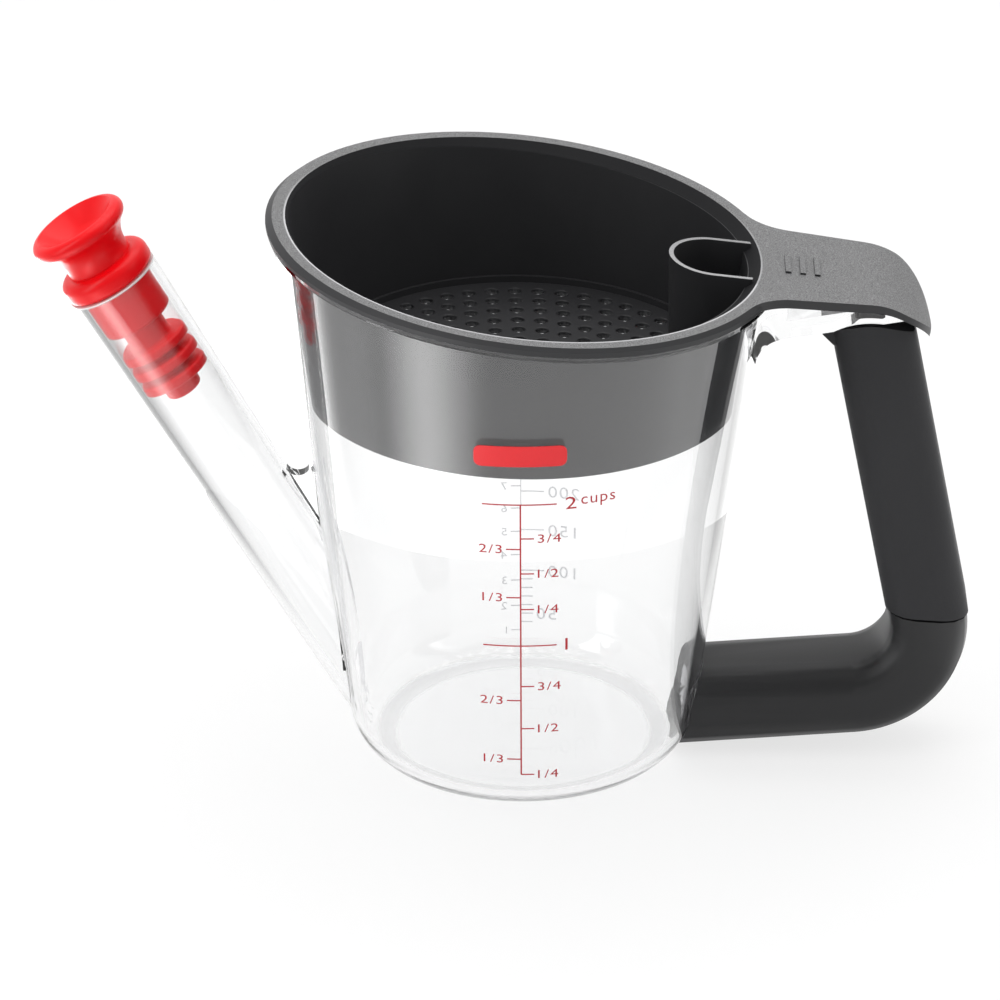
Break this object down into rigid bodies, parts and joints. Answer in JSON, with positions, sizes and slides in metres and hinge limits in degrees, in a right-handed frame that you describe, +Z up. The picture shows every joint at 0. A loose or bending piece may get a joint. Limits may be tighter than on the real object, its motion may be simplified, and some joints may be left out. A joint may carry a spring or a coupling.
{
  "type": "fat separator jug",
  "caption": "Clear pouring jug that parts fat from gravy through a low spout, with a lift-out strainer, a pull-out spout stopper and a soft grip handle.",
  "frame": {"origin": "centre of the vessel's flat base, on the surface it stands on", "axes": "+Z up along the vessel's axis, +X towards the handle, -X towards the spout, the printed cup scale faces -Y"},
  "size_m": [0.2059, 0.1114, 0.1319],
  "materials": {
    "clear": "clear and glossy",
    "black_moulding": "fine matte texture",
    "red_silicone": "smooth silicone",
    "core_plastic": "plain",
    "soft_grip": "soft matte",
    "satin_plastic": "satin"
  },
  "bodies": {
    "jug": {"clear_jug": "clear", "grip_core": "core_plastic", "grip_sleeve": "soft_grip", "handle_elbow": "satin_plastic"},
    "strainer": {"strainer": "black_moulding"},
    "stopper": {"stopper": "red_silicone"}
  },
  "joints": [
    {"name": "strainer_lift", "type": "slide", "parent": "jug", "child": "strainer", "axis": [0, 0, 1], "range_m": [0, 0.06]},
    {"name": "stopper_pull", "type": "slide", "parent": "jug", "child": "stopper", "axis": [-0.4962, 0, 0.8682], "range_m": [0, 0.035]}
  ]
}
